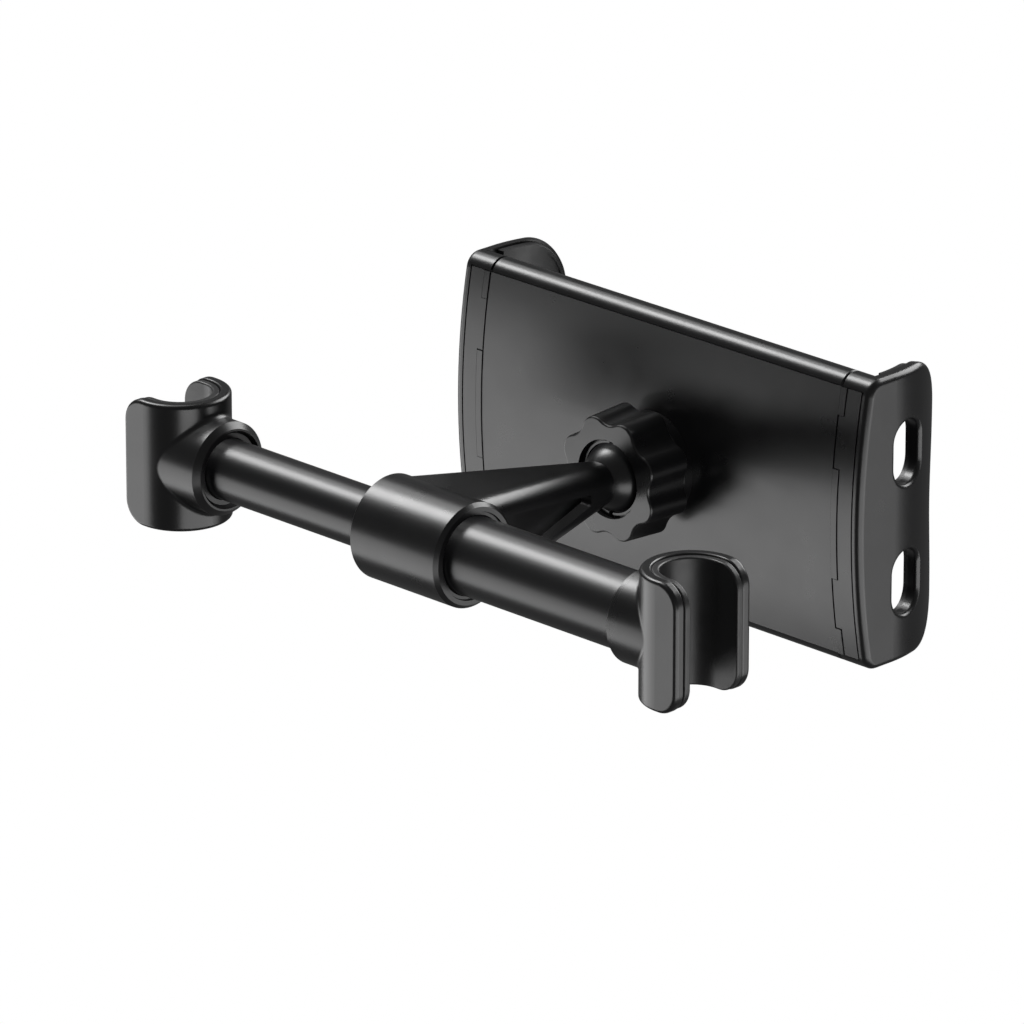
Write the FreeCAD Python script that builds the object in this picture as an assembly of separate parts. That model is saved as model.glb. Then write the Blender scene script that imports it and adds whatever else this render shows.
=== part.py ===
import FreeCAD, Part
import math
import os

# Headrest phone holder: a telescopic rod that hooks between the two posts of a
# car headrest, an arm that turns on the rod, a ball joint with a lobed clamp
# nut, and a sprung cradle with two sliding jaws.
# Millimetres. X runs along the rod, Y points from the headrest towards the
# phone, Z is up. The origin is on the rod's axis, midway between the posts.
# Everything is symmetric about X = 0 except the tubes, and the cradle is also
# symmetric about Z = 0.

# General clearances
seat_gap = 0.02          # between pieces pressed together
run_gap = 0.06           # radial, between pieces that turn or slide on each other
free_gap = 0.3           # between pieces that pass without touching
joint_line = 0.25        # visible gap between two mouldings
jaw_gap = 0.45           # between the cradle's middle and a closed jaw
panel_gap = 0.4          # round the jaw's inset panel

# Rod
post_spacing = 165.0
inner_tube_radius = 7.2
inner_tube_wall = 1.3
outer_tube_radius = 9.2
outer_tube_wall = 1.3
inner_tube_overlap = 15.0    # reach of the inner tube past the middle
bush_length = 6.0
bush_flange = 1.6
cam_length = 10.0
cam_throw = 0.5
cam_cap = 1.5
plug_length = 13.0

# Hooks
hook_radius = 11.9
hook_height = 31.0
hook_tip = 6.5               # reach of the arms past the post's axis
hook_corner = 5.8
hook_wall = 2.7
hook_edge = 1.0
liner_wall = 1.8
liner_proud = 0.25
liner_drop = 0.35
liner_edge = 0.45
boss_reach = 16.0            # from the post's axis to the end of the boss
boss_radius = 11.2
boss_chamfer = 1.4
boss_root = 1.5
bore_floor = 2.1             # wall between the boss's bore and the channel
reducer_recess = 2.4
reducer_front_radius = 8.6
reducer_land = 1.6
screw_shank = 1.4
screw_head = 2.6
screw_cone = 1.3
screw_length = 10.0

# Swing arm
collar_radius = 12.4
collar_length = 28.4
collar_bore = 10.4
collar_chamfer = 0.9
collar_bush_length = 8.0
collar_bush_recess = 1.6
collar_cap_length = 1.8
arm_root_y = 3.0
arm_root_height = 23.9
arm_corner = 4.4
neck_y = 55.2                # end of the taper, inside the ball
neck_half_width = 4.75
neck_half_height = 4.87
neck_drop = 0.17             # the neck's middle lies this far below the rod's
pocket_depth = 3.2
pocket_start = 14.6
pocket_end = 45.1
pocket_upper = (5.55, 0.9)   # height of the upper edge at the two ends
pocket_lower = (-7.7, -1.65)  # height of the lower edge at the two ends
pocket_corner = 0.7

# Ball joint
ball_radius = 8.5
ball_y = 61.0
ball_gap = 0.1
cup_wall = 0.7
cup_half_angle = 52.0
nose_y = 58.2                # front edge of the collet's thin nose
nose_length = 0.6
nose_wall = 0.5
socket_radius = 11.3
socket_slope = 1.3           # length of the collet's cone for each millimetre of radius
socket_lip_angle = 4.0       # the deep seat ends this far behind the equator
collet_slots = 4
slot_width = 1.2
slot_depth = 9.0
flange_radius = 12.6
nut_front_y = 56.9
nut_depth = 11.6
nut_crest = 15.0
nut_valley = 13.1
nut_growth = 0.6             # how much wider the rear of the nut is
nut_crest_radius = 4.0
nut_edge = 0.4
nut_mouth = 9.5
nut_lip = 1.0
nut_lobes = 8

# Cradle
jaw_width = 9.0              # from the middle's end to the ear's outer face
cradle_half_height = 35.07
back_y = 72.1                # middle of the bulged back
back_radius = 170.0
roll_radius = 4.1
roll_turn = 53.2151          # the rolled edge turns this far past its middle, to the front
front_wall = 1.9
cover_wall = 2.0
cover_half_width = 56.2
housing_end_chamfer = 0.3
cover_overlap = 0.8          # reach of the cover past the start of the rolled edge
rest_rib = 2.4               # width of the ledge that carries the cover
tongue_wall = 1.9
tongue_inset = 3.9           # from the cover screws' line to the tongue's edge
tongue_end = 6.0
rail_wall = 1.2
pad_wall = 1.6
pad_end_margin = 8.2         # from the middle's end to the pad
pad_edge_margin = 2.97       # from the rolled edge's axis to the pad
pad_corner = 6.0
pad_sink = 0.5
cover_screw_inset_x = 2.0    # from the pad's end to the outer cover screws
cover_screw_inset_z = 0.6    # from the pad's edge to the cover screws
cover_screw_land = 1.2       # thickness of the wall under a cover screw's head
cover_screw_length = 3.2
small_shank = 1.1
small_head = 2.1
small_head_wall = 1.3
small_screw_boss = 2.3
small_slot_width = 0.5
small_slot_length = 2.4
small_slot_depth = 0.6
socket_screw_circle = 9.5
socket_screw_length = 5.0
spring_inset = 5.5           # from the tongue's edge to the spring
spring_radius = 1.25
spring_wire = 0.45
spring_post = 0.8
spring_anchor_x = 4.5
spring_end_margin = 6.2      # from the middle's end to the spring's outer post

# Jaws
ear_wall = 3.1
ear_straight = 1.6           # from the cradle's front to the start of the bend
ear_bend_radius = 32.8
ear_bend_angle = 34.3
ear_corner = 12.0
ear_waist = 1.8
ear_edge = 1.6
window_width = 9.8
window_height = 15.5
window_lift = 6.3            # from the cradle's front to the middle of the windows
window_z = 15.75
window_shift = -0.6
window_edge = 1.0
jaw_panel_wall = 1.6
jaw_panel_rim = 2.25         # width of the rim outside the panel
tab_margin = 9.17            # from the cradle's edge to the tab
tab_length = 12.65
tab_reach = 1.5
strip_drop = 0.5
jaw_pad_rim = 0.6            # width of the ear's own edge outside the pad
jaw_pad_lift = 0.85          # from the cradle's front to the start of the pad
jaw_pad_wall = 1.9
jaw_pad_field = 0.8          # width of the pad's raised border
jaw_pad_field_drop = 0.5

# Derived sizes
cradle_half_width = cover_half_width + jaw_width
post_x = post_spacing / 2.0
collar_half = collar_length / 2.0
outer_bore = outer_tube_radius - outer_tube_wall
inner_bore = inner_tube_radius - inner_tube_wall
bore_radius = outer_tube_radius + 0.1
channel_radius = hook_radius - hook_wall
liner_radius = channel_radius - liner_wall
bore_bottom = channel_radius + bore_floor
tube_end_x = post_x - bore_bottom
cap_inner_x = -collar_half + 0.2 + collar_cap_length
outer_tube_start = cap_inner_x + 0.15 + bush_flange
inner_tube_end_x = -post_x + bore_bottom + 1.0
cup_inner = ball_radius + ball_gap
cup_outer = cup_inner + cup_wall
pad_inner = cup_outer + ball_gap
pad_outer = pad_inner + cup_wall
seat_radius = pad_outer + ball_gap
nose_radius = nut_mouth - free_gap * 2.0
roll_z = cradle_half_height - roll_radius
pad_half_width = cover_half_width - pad_end_margin
pad_half_height = roll_z - pad_edge_margin
screw_x = pad_half_width - cover_screw_inset_x
screw_z = pad_half_height - cover_screw_inset_z
cover_screw_places = ((-screw_x, screw_z), (0.0, screw_z), (screw_x, screw_z))
tongue_half_height = screw_z - tongue_inset
spring_z = tongue_half_height - spring_inset
spring_jaw_x = cover_half_width - spring_end_margin
tab_high = cradle_half_height - tab_margin
tab_low = tab_high - tab_length
crease_angle = math.asin(roll_z / (back_radius - roll_radius))
crease_z = back_radius * math.sin(crease_angle)
crease_y = back_y + back_radius * (1.0 - math.cos(crease_angle))
roll_y = crease_y + roll_radius * math.cos(crease_angle)
front_y = roll_y + roll_radius * math.sin(math.radians(roll_turn))
ear_bend_y = front_y + ear_straight
window_y = front_y + window_lift
cover_edge = crease_z + cover_overlap
cavity_half_height = cover_edge - joint_line - rest_rib
ledge_y = back_y + back_radius + seat_gap - math.sqrt((back_radius - cover_wall) ** 2 - cover_edge ** 2)
cavity_front_y = front_y - front_wall
jaw_start = cover_half_width + jaw_gap
rim_x = cradle_half_width - jaw_panel_rim
inside_x = jaw_start - 10.0      # cutters of the jaw start here
outside_x = cradle_half_width + 10.0
above_z = cradle_half_height + 20.0


def vec(x, y, z):
    return FreeCAD.Vector(x, y, z)


def rod_x(radius, x0, x1, y=0.0, z=0.0):
    """Cylinder along X."""
    return Part.makeCylinder(radius, x1 - x0, vec(x0, y, z), vec(1, 0, 0))


def rod_y(radius, y0, y1, x=0.0, z=0.0):
    """Cylinder along Y."""
    return Part.makeCylinder(radius, y1 - y0, vec(x, y0, z), vec(0, 1, 0))


def rod_z(radius, z0, z1, x=0.0, y=0.0):
    """Cylinder along Z."""
    return Part.makeCylinder(radius, z1 - z0, vec(x, y, z0), vec(0, 0, 1))


def ring_x(outer, inner, x0, x1):
    """Tube along X."""
    return rod_x(outer, x0, x1).cut(rod_x(inner, x0 - 1.0, x1 + 1.0))


def block(x0, x1, y0, y1, z0, z1):
    """Box between two corners."""
    return Part.makeBox(x1 - x0, y1 - y0, z1 - z0, vec(x0, y0, z0))


def prism(points, direction):
    """Solid swept from a flat polygon."""
    return Part.Face(Part.makePolygon(points + [points[0]])).extrude(direction)


def wire_prism(edges, direction):
    """Solid swept from a flat outline of lines and arcs."""
    return Part.Face(Part.Wire(edges)).extrude(direction)


def arc(a, b, c):
    """Arc from a to c through b."""
    return Part.Arc(a, b, c).toShape()


def line(a, b):
    return Part.LineSegment(a, b).toShape()


def smooth_curve(points, direction):
    """Spline through the points that starts and ends along a direction."""
    curve = Part.BSplineCurve()
    curve.interpolate(Points=points, InitialTangent=direction, FinalTangent=direction)
    return curve.toShape()


def spun_x(points):
    """Solid of revolution about the rod's axis from (x, radius) points."""
    corners = [vec(x, r, 0) for x, r in points]
    face = Part.Face(Part.makePolygon(corners + [corners[0]]))
    return face.revolve(vec(0, 0, 0), vec(1, 0, 0), 360)


def spun_y(points):
    """Solid of revolution about the ball joint's axis from (y, radius) points."""
    corners = [vec(r, y, 0) for y, r in points]
    face = Part.Face(Part.makePolygon(corners + [corners[0]]))
    return face.revolve(vec(0, 0, 0), vec(0, 1, 0), 360)


def mirrored_x(shape):
    return shape.mirror(vec(0, 0, 0), vec(1, 0, 0))


def mirrored_z(shape):
    return shape.mirror(vec(0, 0, 0), vec(0, 0, 1))


def both_z(shape):
    """The shape and its mirror image above and below the middle."""
    return shape.fuse(mirrored_z(shape))


def picked_edges(shape, test):
    """Edges whose start, middle and end all satisfy the test."""
    found = []
    for edge in shape.Edges:
        span = edge.LastParameter - edge.FirstParameter
        places = [edge.valueAt(edge.FirstParameter + span * part) for part in (0.02, 0.5, 0.98)]
        if all(test(place) for place in places):
            found.append(edge)
    return found


def near(a, b, tolerance=0.02):
    return abs(a - b) < tolerance


# Hooks. They are drawn about the post's axis, open towards +X.

def channel_block(radius, half_height, x_tip):
    """Round-backed block that the post's channel follows."""
    back = rod_z(radius, -half_height, half_height)
    return back.fuse(block(0, x_tip, -radius, radius, -half_height, half_height)).removeSplitter()


def arm_outline(half_height, x_tip, corner):
    """Side view of a hook, with the corners of its arms rounded."""
    top = half_height
    slant = corner * (1.0 - math.sqrt(0.5))
    x_back = -hook_radius - 1.0
    edges = [
        line(vec(x_back, 0, -top), vec(x_tip - corner, 0, -top)),
        arc(vec(x_tip - corner, 0, -top), vec(x_tip - slant, 0, -top + slant), vec(x_tip, 0, -top + corner)),
        line(vec(x_tip, 0, -top + corner), vec(x_tip, 0, top - corner)),
        arc(vec(x_tip, 0, top - corner), vec(x_tip - slant, 0, top - slant), vec(x_tip - corner, 0, top)),
        line(vec(x_tip - corner, 0, top), vec(x_back, 0, top)),
        line(vec(x_back, 0, top), vec(x_back, 0, -top)),
    ]
    outline = Part.Face(Part.Wire(edges))
    outline.translate(vec(0, -hook_radius - 1.0, 0))
    return outline.extrude(vec(0, 2.0 * hook_radius + 2.0, 0))


def end_edges(shape, half_height, x_tip, corner, side_test):
    """Edges that run round the ends of a hook's arms and along its rims."""
    def on_end(place):
        if near(abs(place.z), half_height) and place.x < x_tip - corner + 0.1:
            return True
        if near(place.x, x_tip):
            return True
        reach = math.hypot(place.x - x_tip + corner, abs(place.z) - half_height + corner)
        return place.x > x_tip - corner - 0.1 and near(reach, corner)
    return picked_edges(shape, lambda place: on_end(place) and side_test(place))


def on_channel_wall(radius):
    """Test for points on the side of a round-backed block."""
    def test(place):
        if place.x > 0:
            return near(abs(place.y), radius)
        return near(math.hypot(place.x, place.y), radius)
    return test


def hook_shell():
    """U-shaped hook moulding with the round boss that takes the rod."""
    half = hook_height / 2.0
    shell = channel_block(hook_radius, half, hook_tip).common(arm_outline(half, hook_tip, hook_corner))
    shell = shell.makeFillet(hook_edge,
                             end_edges(shell, half, hook_tip, hook_corner, on_channel_wall(hook_radius)))
    boss = rod_x(boss_radius, -boss_reach, 0)
    boss = boss.makeChamfer(boss_chamfer, picked_edges(boss, lambda place: near(place.x, -boss_reach)))
    shell = shell.fuse(boss)
    root = picked_edges(shell, lambda place: near(math.hypot(place.x, place.y), hook_radius)
                        and near(math.hypot(place.y, place.z), boss_radius))
    shell = shell.makeFillet(boss_root, root)
    shell = shell.cut(channel_block(channel_radius, half + 1.0, hook_tip + 1.0))
    shell = shell.makeFillet(hook_edge / 2.0,
                             end_edges(shell, half, hook_tip, hook_corner, on_channel_wall(channel_radius)))
    shell = shell.cut(rod_x(bore_radius, -boss_reach - 1.0, -bore_bottom))
    return shell.cut(countersink(free_gap))


def countersink(gap):
    """Space of the flat-headed screw in the floor of the channel."""
    cone = Part.makeCone(screw_head + gap, screw_shank + gap, screw_cone,
                         vec(-channel_radius + 0.1, 0, 0), vec(-1, 0, 0))
    mouth = rod_x(screw_head + gap, -channel_radius + 0.1, -channel_radius / 2.0)
    return cone.fuse(mouth).fuse(rod_x(screw_shank + gap, -bore_bottom - 1.0, -channel_radius))


def hook_screw():
    """Flat-headed screw that holds the hook on the plug in the tube."""
    top = -channel_radius - 0.05
    head = Part.makeCone(screw_head, screw_shank, screw_cone, vec(top, 0, 0), vec(-1, 0, 0))
    shank = rod_x(screw_shank, top - screw_cone - screw_length, top - screw_cone)
    tip = Part.makeCone(screw_shank, 0.5, 1.5, vec(top - screw_cone - screw_length, 0, 0), vec(-1, 0, 0))
    drive_depth = 0.9
    screw = head.fuse(shank).fuse(tip)
    for across, deep in ((screw_head, 0.6), (0.6, screw_head)):
        screw = screw.cut(block(top - drive_depth, top + 1.0,
                                -across / 2.0, across / 2.0, -deep / 2.0, deep / 2.0))
    return screw


def hook_liner():
    """Rubber lining of the channel, with its own rounded rim."""
    half = hook_height / 2.0 - liner_drop
    tip = hook_tip + liner_proud
    outer = channel_radius - seat_gap
    liner = channel_block(outer, half, tip).common(arm_outline(half, tip, hook_corner))
    liner = liner.cut(channel_block(liner_radius, half + 1.0, tip + 1.0))
    edges = end_edges(liner, half, tip, hook_corner, on_channel_wall(outer))
    edges += end_edges(liner, half, tip, hook_corner, on_channel_wall(liner_radius))
    return liner.makeFillet(liner_edge, edges)


def at_right_post(shape):
    shape.translate(vec(post_x, 0, 0))
    return shape


def at_left_post(shape):
    return mirrored_x(at_right_post(shape))


# Rod

def outer_tube():
    return ring_x(outer_tube_radius, outer_bore, outer_tube_start, tube_end_x - 0.1)


def inner_tube():
    return ring_x(inner_tube_radius, inner_bore, inner_tube_end_x, inner_tube_overlap)


def outer_tube_plug():
    """Plug in the outer tube that takes the right hook's screw."""
    x1 = tube_end_x - 0.1
    plug = rod_x(outer_bore - seat_gap, x1 - plug_length, x1)
    groove = ring_x(outer_bore + 1.0, outer_bore - 1.4, x1 - plug_length + 4.0, x1 - 4.0)
    return plug.cut(groove).cut(rod_x(screw_shank + seat_gap, x1 - plug_length - 1.0, x1 + 1.0))


def reducer_bush():
    """Stepped bush that fills the left boss round the thinner tube and plugs it."""
    floor = -post_x + bore_bottom + 0.1
    face = -post_x + boss_reach - reducer_recess
    land = floor + reducer_land
    outer = [(floor, 0), (floor, bore_radius - run_gap), (land, bore_radius - run_gap),
             (land, reducer_front_radius), (face, reducer_front_radius),
             (face, inner_tube_radius + seat_gap),
             (inner_tube_end_x - seat_gap, inner_tube_radius + seat_gap),
             (inner_tube_end_x - seat_gap, inner_bore - seat_gap),
             (floor + plug_length, inner_bore - seat_gap), (floor + plug_length, 0)]
    return spun_x(outer).cut(rod_x(screw_shank + seat_gap, floor - 1.0, floor + plug_length + 1.0))


def guide_bush():
    """Flanged bush in the mouth of the outer tube that guides the inner tube."""
    start = outer_tube_start - bush_flange
    flange = collar_bore - free_gap
    bush = rod_x(flange, start, outer_tube_start)
    bush = bush.fuse(rod_x(outer_bore - seat_gap, outer_tube_start, outer_tube_start + bush_length))
    return bush.cut(rod_x(inner_tube_radius + run_gap, start - 1.0, outer_tube_start + bush_length + 1.0))


def lock_cam():
    """Plug on the inner tube with the off-centre cam that spreads the lock ring."""
    x0 = inner_tube_overlap
    stem = rod_x(inner_bore - seat_gap, x0 - 8.0, x0)
    shoulder = rod_x(inner_tube_radius, x0, x0 + 1.2)
    cam = rod_x(5.0, x0 + 1.2, x0 + 1.2 + cam_length, z=cam_throw)
    cap = rod_x(inner_tube_radius, x0 + 1.2 + cam_length, x0 + 1.2 + cam_length + cam_cap)
    return stem.fuse(shoulder).fuse(cam).fuse(cap)


def lock_ring():
    """Split ring that grips the bore of the outer tube."""
    x0 = inner_tube_overlap + 1.2 + free_gap
    x1 = inner_tube_overlap + 1.2 + cam_length - free_gap
    ring = ring_x(outer_bore - run_gap, 5.0 + cam_throw + 0.1, x0, x1)
    split = block(x0 - 1.0, x1 + 1.0, -0.8, 0.8, 0, -outer_bore - 1.0 + 2.0 * (outer_bore + 1.0))
    grooves = ring_x(outer_bore + 1.0, outer_bore - 0.5, x0 + 3.0, x0 + 3.8)
    return ring.cut(split).cut(grooves).cut(grooves.translated(vec(2.4, 0, 0)))


# Swing arm

def arm_section(y, half_width, half_height, middle_z):
    """Rounded rectangle in a plane across the arm."""
    w = half_width
    h = half_height
    r = arm_corner
    k = r * (1.0 - math.sqrt(0.5))
    edges = []
    corners = ((1, 1), (-1, 1), (-1, -1), (1, -1))
    for index, (sx, sz) in enumerate(corners):
        start = vec(sx * w, y, sz * (h - r))
        end = vec(sx * (w - r), y, sz * h)
        if index % 2:
            start, end = end, start
        edges.append(arc(start, vec(sx * (w - k), y, sz * (h - k)), end))
        nx, nz = corners[(index + 1) % 4]
        after = vec(nx * (w - r), y, nz * h) if index % 2 == 0 else vec(nx * w, y, nz * (h - r))
        edges.append(line(end, after))
    section = Part.Wire(edges)
    section.translate(vec(0, 0, middle_z))
    return section


def arm_body():
    """Tapered body of the arm, from the collar's full width to the neck in the ball."""
    root = arm_section(arm_root_y, collar_half, arm_root_height / 2.0, 0.0)
    end = arm_section(neck_y, neck_half_width, neck_half_height, -neck_drop)
    return Part.makeLoft([root, end], True, True)


def arm_pocket():
    """Triangular pocket in the arm's right side, between its two limbs."""
    corners = [vec(0, pocket_start, pocket_upper[0]), vec(0, pocket_end, pocket_upper[1]),
               vec(0, pocket_end, pocket_lower[1]), vec(0, pocket_start, pocket_lower[0])]
    pocket = prism(corners, vec(collar_length, 0, 0))
    along = picked_edges(pocket, lambda place: 0.1 < place.x < collar_length - 0.1)
    pocket = pocket.makeFillet(pocket_corner, along)
    slope = (collar_half - neck_half_width) / (neck_y - arm_root_y)
    web_root = collar_half - pocket_depth + slope * arm_root_y
    far = collar_length + 1.0
    web = prism([vec(web_root, 0, -arm_root_height), vec(far, 0, -arm_root_height),
                 vec(far, neck_y, -arm_root_height),
                 vec(web_root - slope * neck_y, neck_y, -arm_root_height)],
                vec(0, 0, 2.0 * arm_root_height))
    return pocket.common(web)


def swing_arm():
    """Collar, tapered arm and ball in one moulding."""
    collar = rod_x(collar_radius, -collar_half, collar_half)
    ends = picked_edges(collar, lambda place: near(abs(place.x), collar_half))
    collar = collar.makeChamfer(collar_chamfer, ends)
    pocket = arm_pocket()
    body = arm_body().cut(pocket).cut(mirrored_x(pocket))
    ball = Part.makeSphere(ball_radius, vec(0, ball_y, 0), vec(0, 1, 0))
    arm = collar.fuse([body, ball]).removeSplitter()
    return arm.cut(rod_x(collar_bore, -collar_half - 1.0, collar_half + 1.0))


def collar_bush(x0):
    """Nylon ring between the collar and the outer tube."""
    return ring_x(collar_bore - seat_gap, outer_tube_radius + run_gap, x0, x0 + collar_bush_length)


def collar_cap():
    """End ring that holds the guide bush in the collar."""
    return ring_x(collar_bore - seat_gap, inner_tube_radius + free_gap,
                  -collar_half + 0.2, cap_inner_x)


# Ball joint

def rear_cap(inner, outer, half_angle):
    """Thin cup that follows the back of the ball."""
    tilt = math.radians(half_angle)
    half = tilt / 2.0

    def at(radius, angle):
        return vec(radius * math.sin(angle), ball_y + radius * math.cos(angle), 0)
    edges = [arc(at(inner, 0), at(inner, half), at(inner, tilt)),
             line(at(inner, tilt), at(outer, tilt)),
             arc(at(outer, tilt), at(outer, half), at(outer, 0)),
             line(at(outer, 0), at(inner, 0))]
    return Part.Face(Part.Wire(edges)).revolve(vec(0, 0, 0), vec(0, 1, 0), 360)


def ball_socket():
    """Slotted collet with the flange that carries the cradle."""
    shoulder_y = nose_y + nose_length
    shoulder_radius = nut_mouth + nose_wall
    cone_end = shoulder_y + (socket_radius - shoulder_radius) * socket_slope
    flange_y = nut_front_y + nut_depth + 0.5
    body = spun_y([(nose_y, 0), (nose_y, nose_radius), (shoulder_y, nose_radius),
                   (shoulder_y, shoulder_radius), (cone_end, socket_radius), (flange_y, socket_radius),
                   (flange_y, flange_radius), (crease_y, flange_radius), (crease_y, 0)])
    rim = picked_edges(body, lambda place: near(place.y, flange_y)
                       and near(math.hypot(place.x, place.z), flange_radius))
    body = body.makeFillet(0.5, rim)
    body = body.cut(back_prism(-flange_radius - 1.0, flange_radius + 1.0, -seat_gap))
    seat = rear_cap_solid(seat_radius, math.radians(90.0 - socket_lip_angle))
    grip = Part.makeSphere(cup_inner, vec(0, ball_y, 0), vec(0, 1, 0))
    mouth = rod_y(nose_radius - nose_wall, nose_y - 1.0, ball_y)
    body = body.cut(seat).cut(grip).cut(mouth)
    for index in range(collet_slots // 2):
        slot = block(-slot_width / 2.0, slot_width / 2.0, nose_y - 1.0, nose_y + slot_depth,
                     -socket_radius - 1.0, socket_radius + 1.0)
        slot.rotate(vec(0, 0, 0), vec(0, 1, 0), 360.0 / collet_slots * index)
        body = body.cut(slot)
    for x, z in socket_screw_places():
        body = body.cut(rod_y(small_shank + seat_gap, back_y - 4.5, crease_y + 1.0, x, z))
    return body


def rear_cap_solid(radius, angle):
    """Part of a ball behind a plane across its axis."""
    depth = radius * math.cos(angle)
    ball = Part.makeSphere(radius, vec(0, ball_y, 0), vec(0, 1, 0))
    return ball.common(block(-radius, radius, ball_y + depth, ball_y + 2.0 * radius, -radius, radius))


def socket_screw_places():
    places = []
    for index in range(4):
        angle = math.radians(45.0 + 90.0 * index)
        places.append((socket_screw_circle * math.cos(angle), socket_screw_circle * math.sin(angle)))
    return places


def lobed_wire(y, inset, growth):
    """Closed outline of tangent arcs, one crest and one valley for each lobe."""
    crest = nut_crest + growth
    valley = nut_valley + growth
    step = math.pi / nut_lobes
    crest_middle = crest - nut_crest_radius
    lean = math.cos(step)
    reach = crest_middle ** 2 + valley ** 2 - 2.0 * crest_middle * valley * lean
    spread = 2.0 * (nut_crest_radius + crest_middle * lean - valley)
    valley_radius = (reach - nut_crest_radius ** 2) / spread
    edges = []

    def at(radius, angle):
        return vec(radius * math.cos(angle), y, radius * math.sin(angle))

    def joint(crest_angle, valley_angle):
        middle = at(crest_middle, crest_angle)
        towards = at(valley + valley_radius, valley_angle).sub(middle).normalize()
        return middle.add(towards.multiply(nut_crest_radius - inset))
    for lobe in range(nut_lobes):
        top = (2 * lobe + 1) * step
        bottom = top + step
        start = joint(top, top - step)
        middle = joint(top, bottom)
        end = joint(top + 2.0 * step, bottom)
        edges.append(arc(start, at(crest - inset, top), middle))
        edges.append(arc(middle, at(valley - inset, bottom), end))
    return Part.Wire(edges)


def clamp_nut():
    """Lobed nut that closes the collet on the ball."""
    rear_y = nut_front_y + nut_depth
    sections = []
    for turn in (0.0, 30.0, 60.0, 90.0):
        inset = nut_edge * (1.0 - math.sin(math.radians(turn)))
        y = nut_front_y + nut_edge * (1.0 - math.cos(math.radians(turn)))
        sections.append(lobed_wire(y, inset, nut_growth * (y - nut_front_y) / nut_depth))
    sections.append(lobed_wire(rear_y - nut_edge, 0.0, nut_growth))
    sections.append(lobed_wire(rear_y, nut_edge, nut_growth))
    body = Part.makeLoft(sections, True, True)
    bore = socket_radius + free_gap
    lip_y = nut_front_y + nut_lip
    cone_radius = nut_mouth + nose_wall
    cone_start = nose_y + nose_length - free_gap * math.hypot(1.0, socket_slope)
    cone_end = cone_start + (bore - cone_radius) * socket_slope
    inside = spun_y([(nut_front_y - 1.0, 0), (nut_front_y - 1.0, nut_mouth), (lip_y, nut_mouth),
                     (lip_y, cone_radius), (cone_start, cone_radius), (cone_end, bore), (rear_y + 1.0, bore),
                     (rear_y + 1.0, 0)])
    return body.cut(inside)


# Cradle. Its section is drawn in the YZ plane.

def back_point(z, inset):
    """Y of the bulged back at a height, moved inwards by an inset."""
    radius = back_radius - inset
    return back_y + back_radius - math.sqrt(radius ** 2 - z ** 2)


def back_prism(x0, x1, inset):
    """Everything in front of the bulged back, as a wide block."""
    top = cradle_half_height + 3.0
    far = front_y + 40.0
    edges = [arc(vec(x0, back_point(top, inset), -top), vec(x0, back_point(0, inset), 0),
                 vec(x0, back_point(top, inset), top)),
             line(vec(x0, back_point(top, inset), top), vec(x0, far, top)),
             line(vec(x0, far, top), vec(x0, far, -top)),
             line(vec(x0, far, -top), vec(x0, back_point(top, inset), -top))]
    return wire_prism(edges, vec(x1 - x0, 0, 0))


def roll_arc(x, sign, last_y):
    """Rolled edge of the cradle from the crease to a given depth."""
    last_z = roll_z + math.sqrt(roll_radius ** 2 - (last_y - roll_y) ** 2)
    return arc(vec(x, crease_y, sign * crease_z), vec(x, roll_y, sign * cradle_half_height),
               vec(x, last_y, sign * last_z)), vec(x, last_y, sign * last_z)


def cradle_section(x0, x1):
    """Solid with the cradle's full outer section."""
    upper, top_end = roll_arc(x0, 1, front_y)
    lower, low_end = roll_arc(x0, -1, front_y)
    edges = [arc(vec(x0, crease_y, -crease_z), vec(x0, back_y, 0), vec(x0, crease_y, crease_z)),
             upper, line(top_end, low_end), lower]
    return wire_prism(edges, vec(x1 - x0, 0, 0))


def front_housing():
    """Tray of the cradle: front wall, rolled edges and guide rails."""
    w = cover_half_width
    h = cavity_half_height
    body = cradle_section(-w, w)
    body = body.makeChamfer(housing_end_chamfer, picked_edges(body, on_housing_end))
    body = body.cut(block(-w - 1, w + 1, back_y - 5, cavity_front_y, -h, h))
    seat = cover_edge
    body = body.cut(block(-w - 1, w + 1, back_y - 5, ledge_y, -seat, seat))
    rail_z = tongue_half_height + free_gap
    rail = block(-w, w, cavity_front_y - tongue_wall - 0.6, cavity_front_y, rail_z, rail_z + rail_wall)
    body = body.fuse(both_z(rail))
    pad_recess = pad_block(pad_half_width + joint_line / 2.0, pad_half_height + joint_line / 2.0,
                           front_y - pad_sink, front_y + 1.0)
    body = body.cut(pad_recess)
    seat_y = cover_screw_seat()
    for x, z in cover_screw_places:
        for side in (-1, 1):
            land = rod_y(small_head + 1.2, seat_y - cover_screw_land, cavity_front_y + 0.1, x, side * z)
            body = body.fuse(land)
            body = body.cut(rod_y(small_shank + 0.2, seat_y - cover_screw_land - 1.0, front_y, x, side * z))
            body = body.cut(rod_y(small_head + 0.2, seat_y, front_y, x, side * z))
    return body


def on_housing_end(place):
    """True for points at the housing's ends on its rolled edges."""
    reach = math.hypot(place.y - roll_y, abs(place.z) - roll_z)
    return near(abs(place.x), cover_half_width) and near(reach, roll_radius)


def cover_screw_seat():
    """Y of the wall that a cover screw's head bears on."""
    return front_y - pad_sink - small_head_wall - 0.1


def pad_block(half_width, half_height, y0, y1):
    """Flat pad with rounded corners."""
    pad = block(-half_width, half_width, y0, y1, -half_height, half_height)
    corners = picked_edges(pad, lambda place: near(abs(place.x), half_width)
                           and near(abs(place.z), half_height))
    return pad.makeFillet(pad_corner, corners)


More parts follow.
